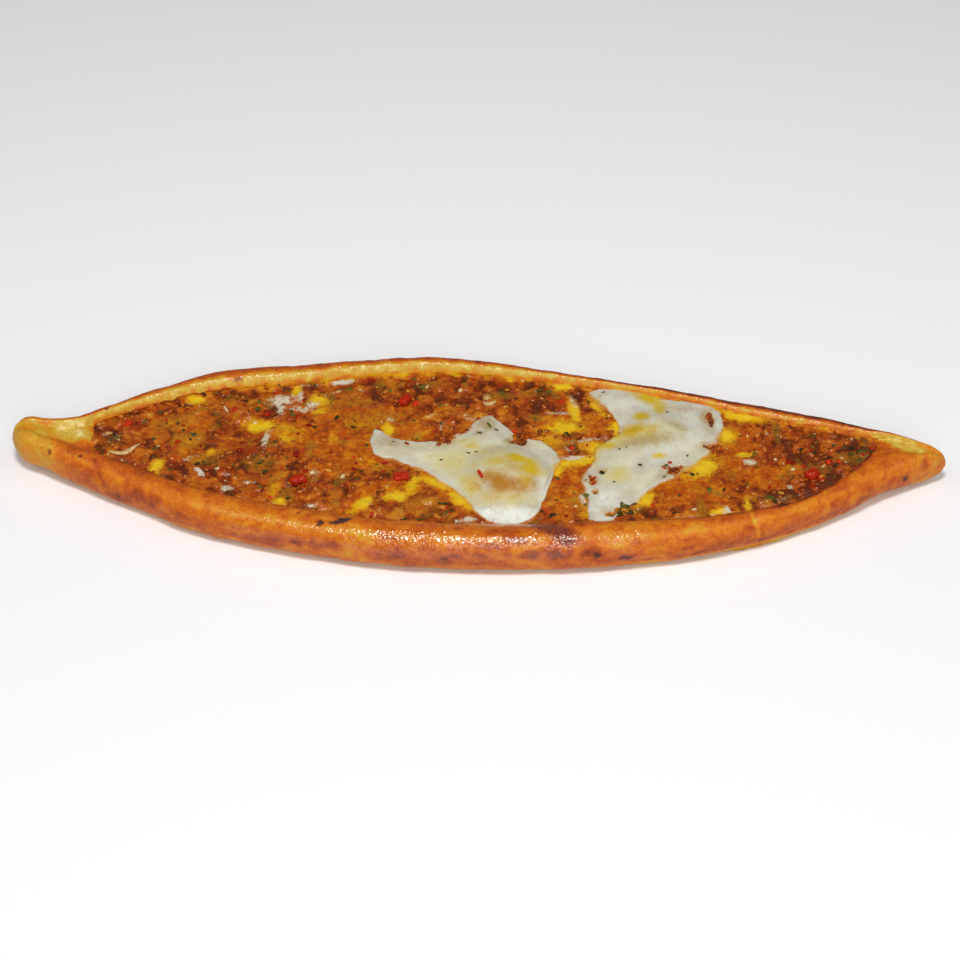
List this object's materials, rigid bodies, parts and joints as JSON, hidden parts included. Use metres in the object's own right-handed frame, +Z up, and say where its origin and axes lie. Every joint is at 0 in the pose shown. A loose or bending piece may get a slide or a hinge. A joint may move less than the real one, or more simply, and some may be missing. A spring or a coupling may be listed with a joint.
{
  "type": "turkish pide",
  "caption": "Boat-shaped baked flatbread with rolled rims and pinched ends, filled with minced meat and topped with baked eggs and diced pepper.",
  "frame": {"origin": "middle of the box in plan, on the surface that the flat underside rests on", "axes": "+X along the boat towards its slimmer end, +Y across it, +Z up"},
  "size_m": [0.435, 0.1334, 0.0229],
  "materials": {
    "crust": "golden baked dough, egg-washed, satin, darker along its edges",
    "filling": "baked minced meat under an oily orange glaze",
    "egg_white": "set egg white, milky and moist",
    "egg_yolk": "set egg yolk, moist",
    "pepper": "cooked red pepper, moist",
    "herb": "wilted parsley flakes, dark green, baked into the filling",
    "onion": "cooked onion and curds of egg, pale yellow, moist"
  },
  "bodies": {
    "root": {"crust": "crust", "filling": "filling", "egg_white_left": "egg_white", "egg_white_right": "egg_white", "egg_yolk_left": "egg_yolk", "egg_yolk_right": "egg_yolk", "pepper_1": "pepper", "pepper_2": "pepper", "pepper_3": "pepper", "pepper_4": "pepper"}
  },
  "joints": []
}
